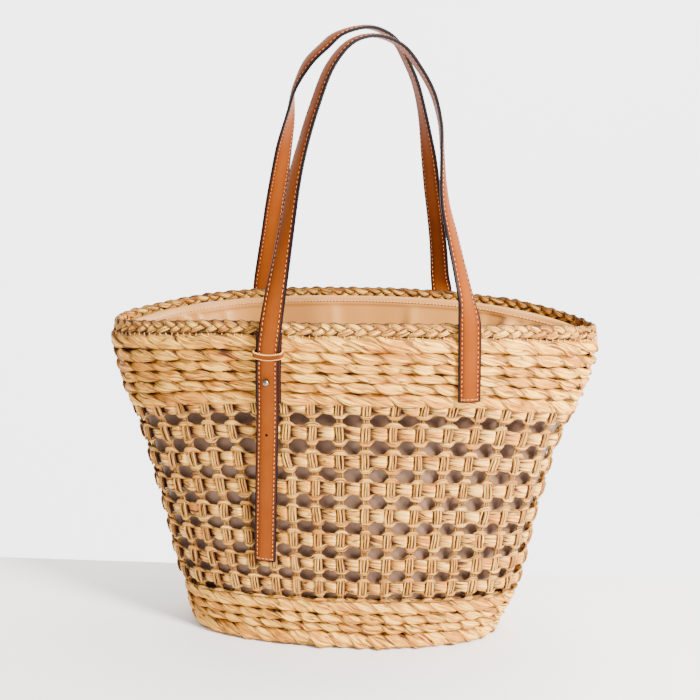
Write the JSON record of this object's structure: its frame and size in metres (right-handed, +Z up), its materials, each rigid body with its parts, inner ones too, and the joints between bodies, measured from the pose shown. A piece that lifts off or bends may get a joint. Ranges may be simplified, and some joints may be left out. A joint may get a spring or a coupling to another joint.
{
  "type": "straw basket tote bag",
  "caption": "Tapered woven straw tote with an oval base, open net body, closely twined bands, braided rim, beige lining and two adjustable tan leather handles.",
  "frame": {"origin": "middle of the underside of the woven floor, at the middle of the whole object's width and depth", "axes": "+Z up along the bag's height, +X to the right along the mouth seen from the front, the front faces -Y"},
  "size_m": [0.4536, 0.1905, 0.5614],
  "materials": {
    "straw": "twisted paper straw, matt with a soft sheen along the fibres",
    "lining_cloth": "plain beige lining cloth with a slight satin sheen",
    "leather": "smooth tan leather, glossy, with dark painted edges and cream stitching",
    "steel": "polished silver-coloured metal"
  },
  "bodies": {
    "root": {"base_floor": "straw", "base_band": "straw", "net_body": "straw", "upper_band": "straw", "rim_braid": "straw", "lining": "lining_cloth", "handle_front": "leather", "handle_back": "leather", "strap_tab_front": "leather", "strap_tab_back": "leather", "keeper_front": "leather", "keeper_back": "leather", "stud_front": "steel", "stud_back": "steel"}
  },
  "joints": []
}
